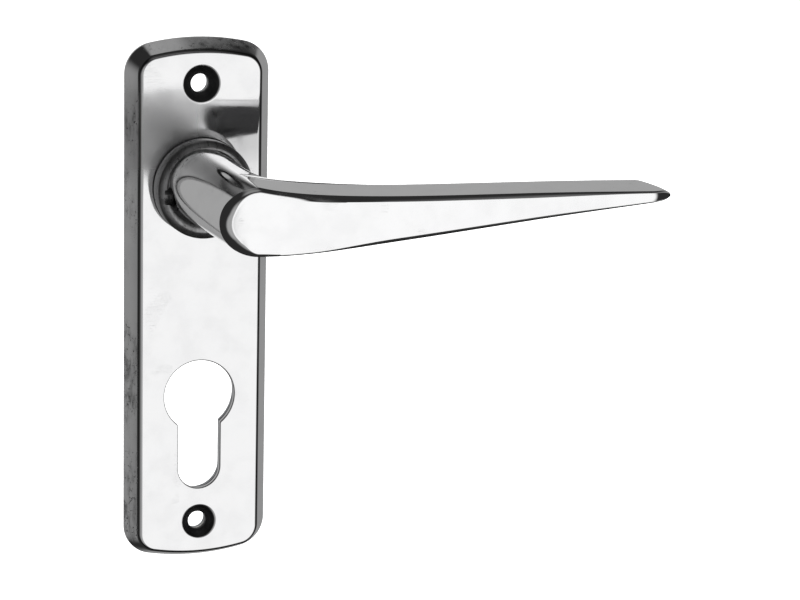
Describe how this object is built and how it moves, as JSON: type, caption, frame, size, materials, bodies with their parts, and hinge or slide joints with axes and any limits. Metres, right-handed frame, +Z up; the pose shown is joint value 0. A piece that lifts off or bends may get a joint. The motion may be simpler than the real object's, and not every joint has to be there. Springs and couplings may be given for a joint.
{
  "type": "door lever handle",
  "caption": "Polished lever handle on a long bevelled backplate with a euro-profile cylinder hole, a return spring and a square spindle.",
  "frame": {"origin": "where the spindle's axis meets the door's face, in the plane of the backplate's rim", "axes": "+Z up, +X towards the lever's tip, -Y out of the door into the room, so +Y runs along the spindle into the door"},
  "size_m": [0.1309, 0.095, 0.137],
  "materials": {
    "polished_plate": "polished sheet with fine scratches and small pits",
    "polished_lever": "polished casting with fine scratches",
    "zinc_steel": "bright zinc plating",
    "bright_steel": "drawn bright bar",
    "spring_steel": "oiled spring wire",
    "black_steel": "blackened",
    "black_nylon": "moulded",
    "white_nylon": "moulded"
  },
  "bodies": {
    "plate": {"backplate": "polished_plate", "inner_plate": "zinc_steel", "neck_bush": "black_nylon", "screw_spacer_top": "white_nylon", "screw_spacer_bottom": "white_nylon", "return_spring": "spring_steel"},
    "lever": {"lever": "polished_lever", "grub_screw": "black_steel", "spindle": "bright_steel", "drive_disc": "zinc_steel", "thrust_washer": "white_nylon", "wave_washer": "spring_steel", "circlip": "black_steel"}
  },
  "joints": [
    {"name": "lever_turn", "type": "hinge", "parent": "plate", "child": "lever", "pos_m": [0, 0, 0], "axis": [0, 1, 0], "range_deg": [0, 45], "stiffness_Nm_per_rad": 0.05, "springref_deg": -68.75, "deforming": ["return_spring"]}
  ]
}
